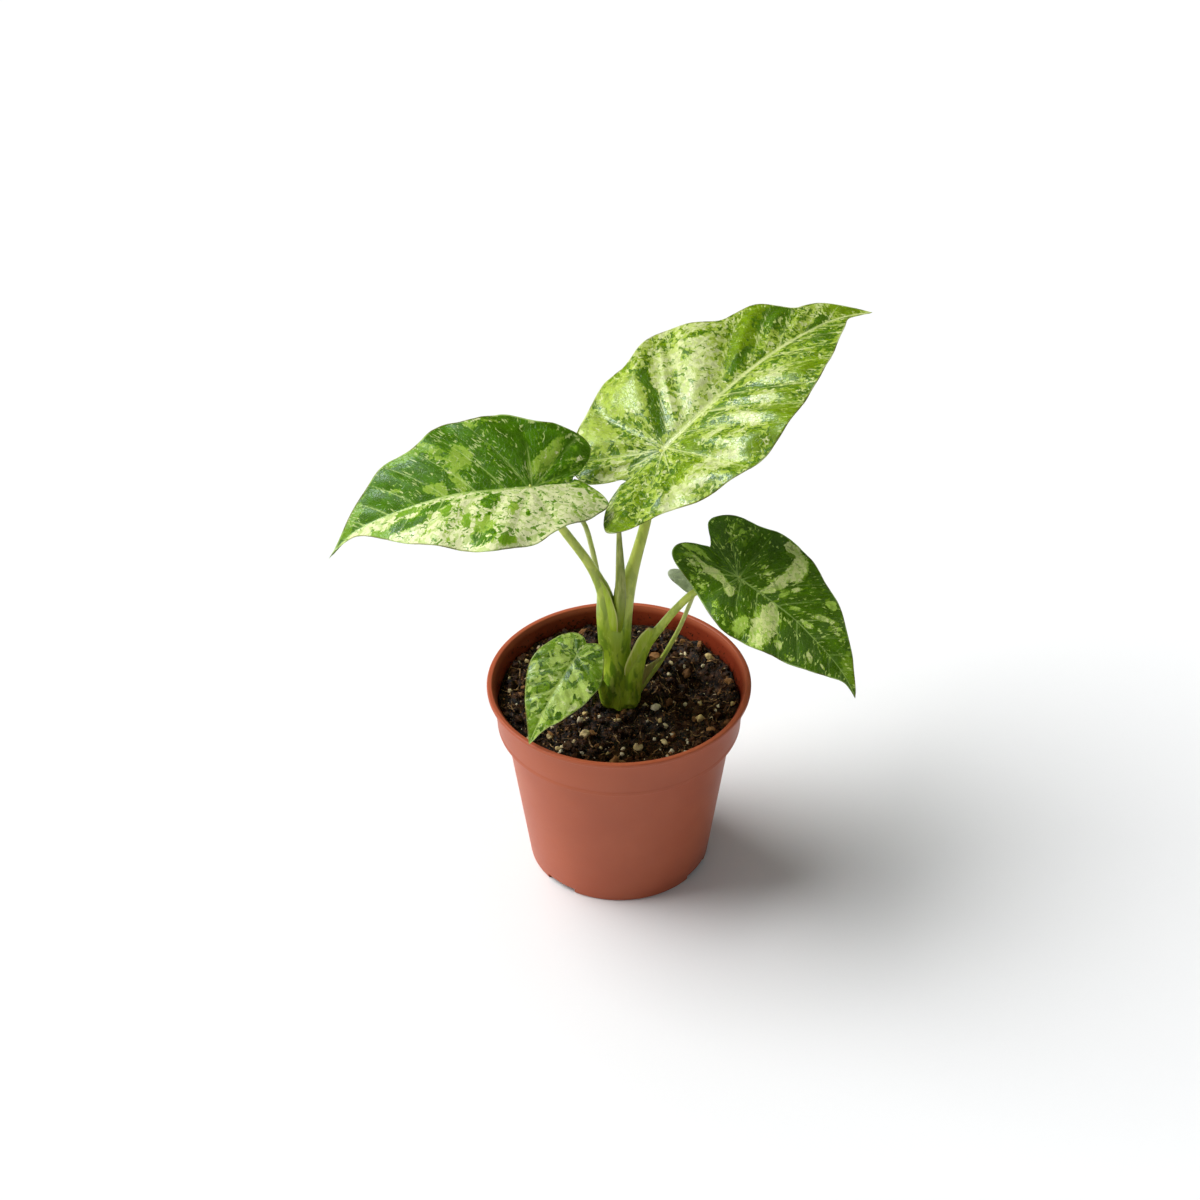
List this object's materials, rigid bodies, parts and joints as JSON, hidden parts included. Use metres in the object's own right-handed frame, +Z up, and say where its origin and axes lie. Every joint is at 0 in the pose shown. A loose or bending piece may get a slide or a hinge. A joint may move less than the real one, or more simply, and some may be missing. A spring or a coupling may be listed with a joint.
{
  "type": "potted variegated giant taro",
  "caption": "Young variegated giant taro with arrow-shaped cream and green leaves on upright stalks, in a round plastic nursery pot of soil.",
  "frame": {"origin": "centre of the pot's flat underside, on the pot's axis", "axes": "+Z up along the pot's axis, +X to the right and +Y to the back as seen in the picture"},
  "size_m": [0.2394, 0.1676, 0.2339],
  "materials": {
    "pot_plastic": "moulded terracotta-coloured plastic, satin",
    "potting_soil": "dark peat and bark crumbs with white perlite grains",
    "stalk": "smooth fleshy light green, satin",
    "young_leaf": "rolled young leaf, light green, satin",
    "leaf_blade": "waxy leaf, cream and lime marbled with green, glossy",
    "leaf_blade_dark": "waxy leaf, dark green marbled with cream, glossy"
  },
  "bodies": {
    "root": {"pot": "pot_plastic", "soil": "potting_soil", "stem": "stalk", "new_leaf": "young_leaf", "blade_left": "leaf_blade", "blade_top": "leaf_blade", "blade_right": "leaf_blade_dark", "blade_front": "leaf_blade_dark", "blade_back": "leaf_blade_dark", "blade_rear": "leaf_blade_dark"}
  },
  "joints": []
}
